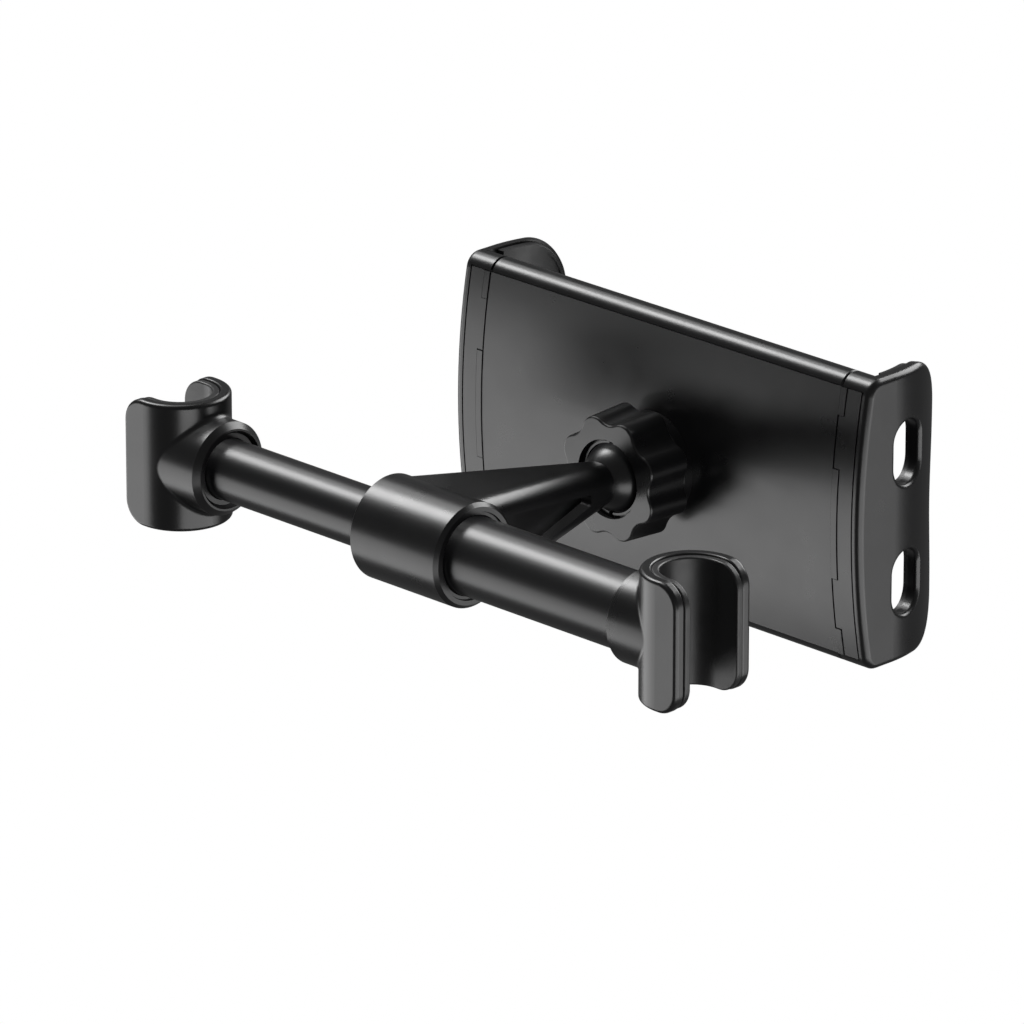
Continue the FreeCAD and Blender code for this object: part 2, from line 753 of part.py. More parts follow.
def front_pad():
    """Rubber pad that the phone lies against."""
    top = front_y - pad_sink + pad_wall
    pad = pad_block(pad_half_width, pad_half_height, front_y - pad_sink + seat_gap, top)
    rim = picked_edges(pad, lambda place: near(place.y, top))
    return pad.makeFillet(0.5, rim)


def back_cover():
    """Bulged back cover with screw bosses and spring posts."""
    w = cover_half_width
    edge = cover_edge - joint_line
    cover = back_prism(-w, w, 0.0).cut(back_prism(-w - 1, w + 1, cover_wall))
    cover = cover.common(block(-w, w, back_y - 5, front_y, -edge, edge))
    for x, z in cover_screw_places:
        for side in (-1, 1):
            boss_end = cover_screw_seat() - cover_screw_land - seat_gap
            cover = cover.fuse(rod_y(small_screw_boss, back_point(z, 1.0), boss_end, x, side * z))
            cover = cover.cut(rod_y(small_shank + seat_gap, back_point(z, cover_wall), front_y, x, side * z))
    for x in (-spring_anchor_x, spring_anchor_x):
        for side in (-1, 1):
            cover = cover.fuse(rod_y(spring_post, back_point(spring_z, 1.0), tongue_back_y() - free_gap,
                                     x, side * spring_z))
    for x, z in socket_screw_places():
        cover = cover.cut(rod_y(small_shank + 0.2, back_y - 1.0, crease_y + 1.0, x, z))
    return cover


def small_screw(head_y, direction, length, x, z):
    """Pan-headed screw along Y; direction is the way it points."""
    axis = vec(0, direction, 0)
    head = Part.makeCylinder(small_head, small_head_wall, vec(x, head_y, z), axis)
    top = [edge for edge in head.Edges if near(edge.CenterOfMass.y, head_y) and edge.Closed]
    head = head.makeFillet(0.5, top)
    shank = Part.makeCylinder(small_shank, small_head_wall + length, vec(x, head_y, z), axis)
    screw = head.fuse(shank)
    slot_y = head_y if direction > 0 else head_y - small_slot_depth
    for wide, high in ((small_slot_length, small_slot_width), (small_slot_width, small_slot_length)):
        screw = screw.cut(block(x - wide / 2, x + wide / 2, slot_y - 0.01, slot_y + small_slot_depth,
                                z - high / 2, z + high / 2))
    return screw


def socket_screws():
    """Screws from inside the cover into the socket's flange."""
    screws = []
    for x, z in socket_screw_places():
        seat = back_point(abs(z) + small_head, cover_wall)
        screws.append(small_screw(seat + small_head_wall, -1, socket_screw_length, x, z))
    return Part.makeCompound(screws)


def cover_screws():
    """Screws under the front pad that hold the cover."""
    screws = []
    for x, z in cover_screw_places:
        for side in (-1, 1):
            head_top = cover_screw_seat() + seat_gap + small_head_wall
            screws.append(small_screw(head_top, -1, cover_screw_length, x, side * z))
    return Part.makeCompound(screws)


def tongue_back_y():
    return cavity_front_y - 0.2 - tongue_wall


# Jaws. The right one is drawn; the left one is its mirror image.

def ear_slab(outer_inset, inner_inset):
    """Curved wall of the ear, between two insets from its outer face."""
    turn = math.radians(ear_bend_angle + 20.0)
    centre_x = cradle_half_width - ear_bend_radius
    start = back_y - 12.0

    def at(inset, angle):
        radius = ear_bend_radius - inset
        return vec(centre_x + radius * math.cos(angle), ear_bend_y + radius * math.sin(angle), -above_z)
    edges = [line(vec(cradle_half_width - outer_inset, start, -above_z), at(outer_inset, 0)),
             arc(at(outer_inset, 0), at(outer_inset, turn / 2), at(outer_inset, turn)),
             line(at(outer_inset, turn), at(inner_inset, turn)),
             arc(at(inner_inset, turn), at(inner_inset, turn / 2), at(inner_inset, 0)),
             line(at(inner_inset, 0), vec(cradle_half_width - inner_inset, start, -above_z)),
             line(vec(cradle_half_width - inner_inset, start, -above_z),
                  vec(cradle_half_width - outer_inset, start, -above_z))]
    return wire_prism(edges, vec(0, 0, 2.0 * above_z))


def ear_tip():
    """Outer corner of the ear's tip."""
    turn = math.radians(ear_bend_angle)
    x = cradle_half_width - ear_bend_radius * (1.0 - math.cos(turn))
    return x, ear_bend_y + ear_bend_radius * math.sin(turn)


def ear_outline(inset):
    """Front outline of the ear, swept square to the face at its tip."""
    turn = math.radians(ear_bend_angle)
    tip_x, tip_y = ear_tip()
    top = cradle_half_height - inset
    front = tip_y - inset
    corner = ear_corner - inset
    k = corner * (1.0 - math.sqrt(0.5))
    back = back_y - 17.0
    edges = [line(vec(tip_x, back, -top), vec(tip_x, front - corner, -top)),
             arc(vec(tip_x, front - corner, -top), vec(tip_x, front - k, -top + k),
                 vec(tip_x, front, -top + corner)),
             smooth_curve([vec(tip_x, front, -top + corner), vec(tip_x, front - ear_waist, 0),
                           vec(tip_x, front, top - corner)], vec(0, 0, 1)),
             arc(vec(tip_x, front, top - corner), vec(tip_x, front - k, top - k),
                 vec(tip_x, front - corner, top)),
             line(vec(tip_x, front - corner, top), vec(tip_x, back, top)),
             line(vec(tip_x, back, top), vec(tip_x, back, -top))]
    face = Part.Face(Part.Wire(edges))
    sweep = vec(math.cos(turn), math.sin(turn), 0)
    face.translate(sweep * -16.0)
    return face.extrude(sweep * 32.0)


def jaw_side(x0, x1):
    """Side view of the jaw from its back to far in front."""
    far = front_y + 40.0
    top = cradle_half_height
    edges = [arc(vec(x0, crease_y, -crease_z), vec(x0, back_y, 0), vec(x0, crease_y, crease_z)),
             arc(vec(x0, crease_y, crease_z), roll_middle(x0, 1), vec(x0, roll_y, top)),
             line(vec(x0, roll_y, top), vec(x0, far, top)),
             line(vec(x0, far, top), vec(x0, far, -top)),
             line(vec(x0, far, -top), vec(x0, roll_y, -top)),
             arc(vec(x0, roll_y, -top), roll_middle(x0, -1), vec(x0, crease_y, -crease_z))]
    return wire_prism(edges, vec(x1 - x0, 0, 0))


def roll_middle(x, sign):
    """Point halfway round the rolled edge between the crease and the top."""
    start = math.atan2(crease_z - roll_z, crease_y - roll_y)
    angle = (start + math.pi / 2.0) / 2.0
    return vec(x, roll_y + roll_radius * math.cos(angle), sign * (roll_z + roll_radius * math.sin(angle)))


def windows(grow, x0, x1):
    """The two long holes through the ear."""
    radius = window_width / 2.0 + grow
    reach = (window_height - window_width) / 2.0
    slot = block(x0, x1, window_y - radius, window_y + radius, -reach, reach)
    slot = slot.fuse([rod_x(radius, x0, x1, window_y, reach), rod_x(radius, x0, x1, window_y, -reach)])
    slot = slot.removeSplitter()
    lower = slot.translated(vec(0, 0, window_shift - window_z))
    return slot.translated(vec(0, 0, window_shift + window_z)).fuse(lower)


def jaw_body():
    """Jaw moulding: end of the cradle, curved ear and sliding tongue."""
    head = cradle_section(jaw_start, cradle_half_width - 1.0)
    ear = ear_slab(0.0, ear_wall).common(ear_outline(0.0)).common(jaw_side(inside_x, outside_x))
    body = head.fuse(ear).removeSplitter()
    return body


def right_jaw():
    body = jaw_body()
    body = body.makeFillet(ear_edge, picked_edges(body, on_ear_face))
    body = body.cut(panel_space())
    body = body.fuse(strip_ledges())
    hollow = block(jaw_start - 1.0, rim_x - 2.2, back_y, tongue_back_y(),
                   -cavity_half_height, cavity_half_height)
    body = body.cut(hollow.common(back_prism(inside_x, outside_x, jaw_panel_wall + 1.8)))
    body = body.fuse(tongue())
    body = body.cut(windows(0.0, inside_x, outside_x))
    return body.makeFillet(window_edge, picked_edges(body, on_window_rim))


def on_ear_face(place):
    """True for points on the outer face of the jaw."""
    if place.y < ear_bend_y:
        return near(place.x, cradle_half_width)
    reach = math.hypot(place.x - cradle_half_width + ear_bend_radius, place.y - ear_bend_y)
    return near(reach, ear_bend_radius, 0.03)


def on_window_rim(place):
    """True for points on the outer face at the edge of a window."""
    half = window_height / 2.0 + 0.1
    beside = abs(abs(place.z - window_shift) - window_z) < half
    return on_ear_face(place) and beside and abs(place.y - window_y) < window_width / 2.0 + 0.1


def tongue():
    """Flat tongue that slides in the housing, with its spring posts."""
    y0 = tongue_back_y()
    plate = block(tongue_end, jaw_start + 3.0, y0, y0 + tongue_wall, -tongue_half_height, tongue_half_height)
    posts = rod_y(spring_post, y0 - 2.0 * spring_radius, y0 + 0.1, spring_jaw_x, spring_z)
    return plate.fuse(both_z(posts))


def panel_space():
    """Recess for the jaw's back panel."""
    edge = cover_edge
    space = back_prism(jaw_start - 1.0, rim_x, -1.0).cut(back_prism(inside_x, outside_x, jaw_panel_wall))
    return space.common(block(inside_x, rim_x, back_y - 5, front_y, -edge, edge))


def strip_ledges():
    """Raised strips of the jaw that show beside the panel's tabs."""
    strips = back_prism(jaw_start, jaw_start + tab_reach + 0.1, strip_drop)
    strips = strips.cut(back_prism(inside_x, outside_x, jaw_panel_wall + 0.3))
    edge = cover_edge - joint_line
    middle = block(inside_x, outside_x, back_y - 5, front_y, -tab_low, tab_low)
    ends = block(inside_x, outside_x, back_y - 5, front_y, tab_high, edge)
    return strips.common(middle.fuse(both_z(ends)))


def right_jaw_panel():
    """Inset back panel of the jaw, with tabs that reach the cover."""
    edge = cover_edge - joint_line
    start = jaw_start + tab_reach + joint_line
    panel = back_prism(jaw_start, rim_x - panel_gap, 0.0)
    panel = panel.cut(back_prism(inside_x, outside_x, jaw_panel_wall - seat_gap))
    panel = panel.common(block(inside_x, outside_x, back_y - 5, front_y, -edge, edge))
    notch = block(inside_x, start, back_y - 5, front_y, -tab_low - joint_line, tab_low + joint_line)
    for side in (-1, 1):
        low, high = sorted((side * (tab_high - joint_line), side * above_z))
        notch = notch.fuse(block(inside_x, start, back_y - 5, front_y, low, high))
    return panel.cut(notch)


def right_jaw_pad():
    """Rubber pad inside the ear, with a raised border."""
    bottom = ear_wall + seat_gap
    pad = ear_slab(bottom, bottom + jaw_pad_wall).common(ear_outline(jaw_pad_rim))
    start = front_y + jaw_pad_lift
    pad = pad.common(block(inside_x, outside_x, start, front_y + 40, -above_z, above_z))
    field = ear_slab(bottom + jaw_pad_wall - jaw_pad_field_drop, bottom + jaw_pad_wall + 2.0)
    field = field.common(ear_outline(jaw_pad_rim + jaw_pad_field))
    start += jaw_pad_field
    field = field.common(block(inside_x, outside_x, start, front_y + 40, -above_z, above_z))
    return pad.cut(field).cut(windows(0.3, inside_x, outside_x))


def jaw_spring(side_z):
    """Extension spring between the cover's post and the jaw's post."""
    y = tongue_back_y() - spring_radius - 0.15
    reach = spring_radius + 0.05
    coil = ring_x(spring_radius, spring_radius - spring_wire, spring_anchor_x + reach, spring_jaw_x - reach)
    coil.translate(vec(0, y, side_z))
    for x in (spring_anchor_x, spring_jaw_x):
        eye = rod_y(spring_radius + 0.4, y - spring_wire / 2.0, y + spring_wire / 2.0, x, side_z)
        coil = coil.fuse(eye)
    for x in (spring_anchor_x, spring_jaw_x):
        coil = coil.cut(rod_y(spring_radius + 0.4 - spring_wire, y - 1.0, y + 1.0, x, side_z))
    return coil


def right_springs():
    return Part.makeCompound([jaw_spring(spring_z), jaw_spring(-spring_z)])


def write(name, shape):
    """Write one node as a STEP file."""
    shape.exportStep(os.path.join("parts", name + ".step"))
    print(name, "solids", len(shape.Solids), "valid", shape.isValid(), "volume", round(shape.Volume, 1))


def main():
    os.makedirs("parts", exist_ok=True)
    write("outer_tube", outer_tube())
    write("inner_tube", inner_tube())
    write("outer_tube_plug", outer_tube_plug())
    write("reducer_bush", reducer_bush())
    write("guide_bush", guide_bush())
    write("lock_cam", lock_cam())
    write("lock_ring", lock_ring())
    write("right_hook", at_right_post(hook_shell()))
    write("right_hook_liner", at_right_post(hook_liner()))
    write("right_hook_screw", at_right_post(hook_screw()))
    write("left_hook", at_left_post(hook_shell()))
    write("left_hook_liner", at_left_post(hook_liner()))
    write("left_hook_screw", at_left_post(hook_screw()))
    write("swing_arm", swing_arm())
    write("collar_bush_left", collar_bush(outer_tube_start + 0.3))
    write("collar_bush_right", collar_bush(collar_half - collar_bush_recess - collar_bush_length))
    write("collar_cap", collar_cap())
    write("ball_cup", rear_cap(cup_inner, cup_outer, cup_half_angle))
    write("ball_pad", rear_cap(pad_inner, pad_outer, cup_half_angle))
    write("ball_socket", ball_socket())
    write("clamp_nut", clamp_nut())
    write("socket_screws", socket_screws())
    write("front_housing", front_housing())
    write("back_cover", back_cover())
    write("front_pad", front_pad())
    write("cover_screws", cover_screws())
    write("right_jaw", right_jaw())
    write("right_jaw_panel", right_jaw_panel())
    write("right_jaw_pad", right_jaw_pad())
    write("right_springs", right_springs())
    write("left_jaw", mirrored_x(right_jaw()))
    write("left_jaw_panel", mirrored_x(right_jaw_panel()))
    write("left_jaw_pad", mirrored_x(right_jaw_pad()))
    write("left_springs", mirrored_x(right_springs()))


main()
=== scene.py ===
# Headrest phone holder, dressed for its picture: a telescopic rod with hooked
# ends, a swing arm with a ball joint and lobed nut, and a sprung cradle.
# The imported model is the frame. Each sub-assembly below is a class that knows
# its own nodes and finishes, and the studio holds the lights, floor and camera.

import logging
import math
from dataclasses import dataclass, field
from enum import Enum
from typing import Any, Mapping, Sequence

import bpy
import numpy as np
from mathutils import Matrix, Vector


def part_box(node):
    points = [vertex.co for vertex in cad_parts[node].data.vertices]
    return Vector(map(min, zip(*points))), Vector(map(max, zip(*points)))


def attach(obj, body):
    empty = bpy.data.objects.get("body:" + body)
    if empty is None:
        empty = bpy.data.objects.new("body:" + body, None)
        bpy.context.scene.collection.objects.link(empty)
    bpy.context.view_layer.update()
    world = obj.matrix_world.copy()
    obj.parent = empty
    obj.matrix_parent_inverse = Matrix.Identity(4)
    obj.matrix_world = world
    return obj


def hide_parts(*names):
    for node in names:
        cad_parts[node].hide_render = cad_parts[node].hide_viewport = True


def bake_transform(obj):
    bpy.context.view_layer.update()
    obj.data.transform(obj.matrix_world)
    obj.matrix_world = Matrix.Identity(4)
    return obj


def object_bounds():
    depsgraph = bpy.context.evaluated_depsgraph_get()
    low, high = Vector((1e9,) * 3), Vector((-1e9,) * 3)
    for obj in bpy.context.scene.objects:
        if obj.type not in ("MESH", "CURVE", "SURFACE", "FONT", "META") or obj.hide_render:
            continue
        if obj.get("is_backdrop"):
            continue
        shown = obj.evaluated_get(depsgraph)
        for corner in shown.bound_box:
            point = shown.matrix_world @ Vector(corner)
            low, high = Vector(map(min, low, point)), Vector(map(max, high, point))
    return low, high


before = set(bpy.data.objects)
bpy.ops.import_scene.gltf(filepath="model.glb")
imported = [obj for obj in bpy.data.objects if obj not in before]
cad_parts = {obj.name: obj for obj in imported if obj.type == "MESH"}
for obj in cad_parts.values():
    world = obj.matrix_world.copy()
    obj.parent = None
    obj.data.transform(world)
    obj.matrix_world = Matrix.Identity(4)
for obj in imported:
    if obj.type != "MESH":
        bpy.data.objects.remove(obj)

LOG = logging.getLogger("phone_holder")
MM = 0.001
Colour = tuple[float, float, float, float]


def to_linear(hex_colour: str) -> Colour:
    """Turn an sRGB hex colour into linear light.

    Each channel c in 0..1 becomes c / 12.92 below 0.04045, and otherwise
    ((c + 0.055) / 1.055) to the power 2.4.

    Args:
        hex_colour: six hex digits with a leading hash.

    Returns:
        Red, green, blue and an alpha of 1.
    """
    digits = hex_colour.lstrip("#")
    channels = [int(digits[i:i + 2], 16) / 255.0 for i in (0, 2, 4)]
    linear = [c / 12.92 if c <= 0.04045 else ((c + 0.055) / 1.055) ** 2.4 for c in channels]
    return linear[0], linear[1], linear[2], 1.0


def add_node(tree: bpy.types.NodeTree, kind: str, settings: Mapping[Any, Any],
             links: Mapping[Any, bpy.types.NodeSocket] | None = None) -> bpy.types.Node:
    """Add one node with its settings and incoming links.

    Args:
        tree: node tree that takes the node.
        kind: Blender's name for the node type.
        settings: values for the node's properties, or for its input sockets.
        links: output sockets to join to this node's inputs.

    Returns:
        The new node.
    """
    node = tree.nodes.new(kind)
    for name, value in settings.items():
        if isinstance(name, str) and hasattr(node, name):
            setattr(node, name, value)
        else:
            node.inputs[name].default_value = value
    for name, source in (links or {}).items():
        tree.links.new(source, node.inputs[name])
    return node


def new_material(name: str) -> tuple[bpy.types.Material, bpy.types.NodeTree]:
    """Make an empty node material.

    Args:
        name: the material's name.

    Returns:
        The material and its node tree, cleared.
    """
    material = bpy.data.materials.new(name)
    material.use_nodes = True
    material.node_tree.nodes.clear()
    return material, material.node_tree


# How rough the two noises of a surface are, and the span that most of a noise's
# values lie in.
GRAIN_NOISE = {"Detail": 2.0, "Roughness": 0.6}
PATCH_NOISE = {"Detail": 4.0, "Roughness": 0.55}
NOISE_LOW = 0.3
NOISE_HIGH = 0.7


class Process(Enum):
    """How a surface was made, which sets the way its grain runs.

    The values scale the grain along X, Y and Z: a small one draws it out.
    """

    MOULDED = (1.0, 1.0, 1.0)
    DRAWN_ALONG_X = (0.03, 1.0, 1.0)
    WOUND_ALONG_X = (1.0, 0.05, 0.05)


@dataclass(frozen=True)
class Finish:
    """One real material with the surface that its making leaves.

    Attributes:
        name: the material's common name and process.
        colour: sRGB hex of the surface.
        second_colour: sRGB hex of its slightly paler patches.
        roughness: middle of the roughness.
        roughness_spread: how far roughness wanders either way.
        grain_mm: size of the fine grain.
        grain_depth_mm: height of the fine grain.
        patch_mm: size of the broad patches in colour and gloss.
        wave_mm: size of the slow unevenness of the surface.
        wave_depth_mm: height of that unevenness.
        ior: refractive index.
        metallic: 1 for bare metal.
        process: which way the grain runs.
    """

    name: str
    colour: str
    second_colour: str
    roughness: float
    roughness_spread: float
    grain_mm: float
    grain_depth_mm: float
    patch_mm: float
    wave_mm: float = 14.0
    wave_depth_mm: float = 0.0
    ior: float = 1.5
    metallic: float = 0.0
    process: Process = Process.MOULDED

    def build(self) -> bpy.types.Material:
        """Build the material's nodes.

        Fine noise raises the grain and slow noise the moulding's unevenness,
        both through bump. Broad noise moves the roughness and the colour.

        Returns:
            The finished material.
        """
        material, tree = new_material(self.name)
        place = add_node(tree, "ShaderNodeTexCoord", {})
        run = add_node(tree, "ShaderNodeMapping", {"Scale": self.process.value},
                       {"Vector": place.outputs["Object"]})
        grain = add_node(tree, "ShaderNodeTexNoise",
                         {"Scale": 1.0 / (self.grain_mm * MM), **GRAIN_NOISE},
                         {"Vector": run.outputs["Vector"]})
        patch = add_node(tree, "ShaderNodeTexNoise",
                         {"Scale": 1.0 / (self.patch_mm * MM), **PATCH_NOISE},
                         {"Vector": run.outputs["Vector"]})
        wave = add_node(tree, "ShaderNodeTexNoise",
                        {"Scale": 1.0 / (self.wave_mm * MM), "Detail": 0.0},
                        {"Vector": place.outputs["Object"]})
        swell = add_node(tree, "ShaderNodeBump",
                         {"Strength": 1.0, "Distance": self.wave_depth_mm * MM},
                         {"Height": wave.outputs["Fac"]})
        relief = add_node(tree, "ShaderNodeBump",
                          {"Strength": 1.0, "Distance": self.grain_depth_mm * MM},
                          {"Height": grain.outputs["Fac"], "Normal": swell.outputs["Normal"]})
        gloss = add_node(tree, "ShaderNodeMapRange",
                         {"From Min": NOISE_LOW, "From Max": NOISE_HIGH,
                          "To Min": self.roughness - self.roughness_spread,
                          "To Max": self.roughness + self.roughness_spread},
                         {"Value": patch.outputs["Fac"]})
        shade = add_node(tree, "ShaderNodeMix",
                         {"data_type": "RGBA", 6: to_linear(self.colour),
                          7: to_linear(self.second_colour)},
                         {0: patch.outputs["Fac"]})
        surface = add_node(tree, "ShaderNodeBsdfPrincipled",
                           {"Metallic": self.metallic, "IOR": self.ior},
                           {"Base Color": shade.outputs[2], "Roughness": gloss.outputs["Result"],
                            "Normal": relief.outputs["Normal"]})
        add_node(tree, "ShaderNodeOutputMaterial", {}, {"Surface": surface.outputs["BSDF"]})
        return material


# Glass-filled nylon from a spark-eroded mould: near black, satin, with a fine
# even stipple that softens every highlight.
SATIN_NYLON = Finish(
    name="satin_moulded_nylon", colour="#0c0c0d", second_colour="#0f0f10",
    roughness=0.29, roughness_spread=0.02, grain_mm=0.35, grain_depth_mm=0.003, patch_mm=9.0,
    wave_depth_mm=0.01)
# Black lacquer over drawn tube, with faint lines along it.
LACQUERED_TUBE = Finish(
    name="lacquered_drawn_tube", colour="#0b0b0c", second_colour="#0e0e10",
    roughness=0.32, roughness_spread=0.02, grain_mm=0.4, grain_depth_mm=0.002, patch_mm=7.0,
    process=Process.DRAWN_ALONG_X)
# Soft moulded rubber: duller than the nylon round it.
MOULDED_RUBBER = Finish(
    name="moulded_rubber", colour="#0d0d0e", second_colour="#111112",
    roughness=0.42, roughness_spread=0.04, grain_mm=0.3, grain_depth_mm=0.006, patch_mm=5.0,
    ior=1.52)
# Turned acetal: smooth and slightly waxy. Its near black is set a shade paler than the nylon's as
# painted light, so that bushes deep in their recesses still show.
TURNED_ACETAL = Finish(
    name="turned_acetal", colour="#0f0f10", second_colour="#131314",
    roughness=0.30, roughness_spread=0.03, grain_mm=0.25, grain_depth_mm=0.002, patch_mm=4.0,
    ior=1.48)
# Zinc plate on steel: pale, faintly mottled metal.
ZINC_PLATE = Finish(
    name="zinc_plated_steel", colour="#b7b8b6", second_colour="#c9c9c4",
    roughness=0.32, roughness_spread=0.06, grain_mm=0.2, grain_depth_mm=0.004, patch_mm=1.5,
    metallic=1.0)
# Wound spring wire: bright steel whose grain changes from turn to turn and
# hardly within one, so that the coil glints in bands.
SPRING_WIRE = Finish(
    name="wound_spring_wire", colour="#9a9b9c", second_colour="#b4b4b2",
    roughness=0.3, roughness_spread=0.05, grain_mm=0.45, grain_depth_mm=0.12, patch_mm=3.0,
    metallic=1.0, process=Process.WOUND_ALONG_X)


def grid_faces(rows: int, columns: int, wrap_rows: bool = False,
               wrap_columns: bool = False) -> np.ndarray:
    """Faces of four corners over a grid of points that come row by row.

    The face at (i, j) joins the points (i, j), (i, j + 1), (i + 1, j + 1) and
    (i + 1, j). A wrapped direction goes on from its last point to its first.

    Args:
        rows: points down the grid.
        columns: points along a row.
        wrap_rows: join the last row to the first.
        wrap_columns: join the last point of each row to its first.

    Returns:
        Corner numbers, one row a face.
    """
    row, column = np.meshgrid(np.arange(rows if wrap_rows else rows - 1),
                              np.arange(columns if wrap_columns else columns - 1), indexing="ij")
    here = row * columns
    below = (row + 1) % rows * columns
    after = (column + 1) % columns
    return np.stack([here + column, here + after, below + after, below + column],
                    axis=-1).reshape(-1, 4)


def mesh_piece(name: str, points: np.ndarray, faces: np.ndarray, flip: bool = False,
               smooth: bool = True) -> bpy.types.Object:
    """Make an object at the origin from arrays of points and faces.

    Args:
        name: the piece's name.
        points: vertices in metres.
        faces: corner numbers, one row a face.
        flip: turn the faces round, for a mirrored surface.
        smooth: shade its faces as one smooth surface.

    Returns:
        The new object.
    """
    mesh = bpy.data.meshes.new(name)
    order = faces[:, ::-1] if flip else faces
    mesh.from_pydata(points.tolist(), [], order.tolist())
    mesh.polygons.foreach_set("use_smooth", np.full(len(faces), smooth))
    mesh.update()
    piece = bpy.data.objects.new(name, mesh)
    bpy.context.collection.objects.link(piece)
    return piece


@dataclass
class FinishShop:
    """Builds each finish once and shares it.

    Attributes:
        made: the materials built so far, by finish name.
    """

    made: dict[str, bpy.types.Material] = field(default_factory=dict)

    def apply(self, piece: bpy.types.Object, finish: Finish) -> None:
        """Put a finish on every slot of a piece.

        Args:
            piece: the object to finish.
            finish: its finish.
        """
        if finish.name not in self.made:
            self.made[finish.name] = finish.build()
        if not piece.material_slots:
            piece.data.materials.append(None)
        for slot in piece.material_slots:
            slot.link = "OBJECT"
            slot.material = self.made[finish.name]


@dataclass
class SubAssembly:
    """A group of nodes that leave the bench together.

    Attributes:
        title: the group's name in the log.
        finishes: each node with its finish.
    """

    title: str = ""
    finishes: Mapping[str, Finish] = field(default_factory=dict)

    def dress(self, shop: FinishShop) -> None:
        """Give every node its finish.

        Args:
            shop: keeps one material for each finish.
        """
        for node, finish in self.finishes.items():
            shop.apply(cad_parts[node], finish)
            low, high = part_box(node)
            size = [round((b - a) / MM, 1) for a, b in zip(low, high)]
            LOG.info("%s: %s in %s, %s mm", self.title, node, finish.name, size)


@dataclass(frozen=True)
class TurnedRing:
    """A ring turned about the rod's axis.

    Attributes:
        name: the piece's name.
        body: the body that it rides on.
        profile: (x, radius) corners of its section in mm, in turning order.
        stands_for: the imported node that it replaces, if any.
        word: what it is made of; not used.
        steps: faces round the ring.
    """

    name: str
    body: str
    profile: tuple[tuple[float, float], ...]
    stands_for: str = ""
    word: str = "slip_plastic"
    steps: int = 144

    def surface(self) -> tuple[np.ndarray, np.ndarray]:
        """Section carried round the rod's axis.

        For corner (x, r) and angle t the point is (x, r cos t, r sin t). Rows of
        the grid are the section's corners, and both directions close on themselves.

        Returns:
            Vertices in metres and faces of four corners.
        """
        section = np.array(self.profile)
        t = np.linspace(0.0, 2.0 * np.pi, self.steps, endpoint=False)
        x = np.repeat(section[:, :1], self.steps, axis=1)
        points = np.stack([x, section[:, 1:] * np.cos(t), section[:, 1:] * np.sin(t)], axis=-1)
        faces = grid_faces(len(section), self.steps, wrap_rows=True, wrap_columns=True)
        return points.reshape(-1, 3) * MM, faces

    def crease(self, piece: bpy.types.Object) -> None:
        """Keep the edges that run round the ring crisp.

        Args:
            piece: the ring's object, whose vertices come corner by corner.
        """
        ends = np.empty(len(piece.data.edges) * 2, dtype=np.int32)
        piece.data.edges.foreach_get("vertices", ends)
        corners = ends.reshape(-1, 2) // self.steps
        crisp = piece.data.attributes.new("sharp_edge", "BOOLEAN", "EDGE")
        crisp.data.foreach_set("value", corners[:, 0] == corners[:, 1])

    def fit(self, shop: FinishShop, finish: Finish) -> None:
        """Put the ring on its body, in the place of a packed one if it names one.

        Args:
            shop: keeps one material for each finish.
            finish: the ring's finish.
        """
        points, faces = self.surface()
        piece = mesh_piece(self.name, points, faces)
        self.crease(piece)
        shop.apply(piece, finish)
        if self.stands_for:
            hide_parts(self.stands_for)
        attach(piece, self.body)
        LOG.info("%s on %s, %d faces", self.name, self.body, len(faces))


class Side(Enum):
    """The two ends of the rod and of the cradle, with the sign of X."""

    LEFT = -1.0
    RIGHT = 1.0


@dataclass
class TelescopicRod(SubAssembly):
    """The two tubes with their bushes, plug and twist lock.

    The reducer is turned here: its face lies a millimetre inside the left boss,
    with a narrow gap round it. Its places are in mm along X.

    Attributes:
        seat_end_x: far end of its seat in the boss.
        seat_length: length of that seat, in mm.
        face_x: its face.
        tube_end_x: floor of the groove that takes the tube.
        plug_end_x: end of its plug inside the tube.
        seat_radius: of the seat, in mm.
        head_radius: of the part that the gap runs round, in mm.
        groove_radius: outer radius of the groove, in mm.
        plug_radius: of the plug, in mm.
        screw_bore: radius of the screw's bore, in mm.
        face_edge: bevel of the face's outer edge, in mm.
        mouth_edge: height of the bevel at the groove's mouth, in mm.
    """

    title: str = "rod"
    finishes: Mapping[str, Finish] = field(default_factory=lambda: {
        "outer_tube": LACQUERED_TUBE, "inner_tube": LACQUERED_TUBE, "outer_tube_plug": TURNED_ACETAL,
        "guide_bush": TURNED_ACETAL, "lock_ring": TURNED_ACETAL, "lock_cam": TURNED_ACETAL})
    seat_end_x: float = -71.1
    seat_length: float = 1.6
    face_x: float = -66.55
    tube_end_x: float = -70.18
    plug_end_x: float = -58.1
    seat_radius: float = 9.24
    head_radius: float = 8.75
    groove_radius: float = 7.22
    plug_radius: float = 5.88
    screw_bore: float = 1.5
    face_edge: float = 0.2
    mouth_edge: float = 0.23

    def reducer(self) -> TurnedRing:
        """Section of the reducer: bore, seat, head, bevelled face, groove and plug.

        Returns:
            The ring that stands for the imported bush.
        """
        step_x = self.seat_end_x + self.seat_length
        bevel_x = self.face_x - self.face_edge
        return TurnedRing("turned_reducer", "rod_inner", (
            (self.seat_end_x, self.screw_bore), (self.seat_end_x, self.seat_radius),
            (step_x, self.seat_radius), (step_x, self.head_radius),
            (bevel_x, self.head_radius), (self.face_x, self.head_radius - self.face_edge),
            (self.face_x, self.groove_radius + self.mouth_edge), (bevel_x, self.groove_radius),
            (self.tube_end_x, self.groove_radius), (self.tube_end_x, self.plug_radius),
            (self.plug_end_x, self.plug_radius), (self.plug_end_x, self.screw_bore)),
            stands_for="reducer_bush")

    def dress(self, shop: FinishShop) -> None:
        """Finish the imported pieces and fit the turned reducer."""
        super().dress(shop)
        self.reducer().fit(shop, TURNED_ACETAL)


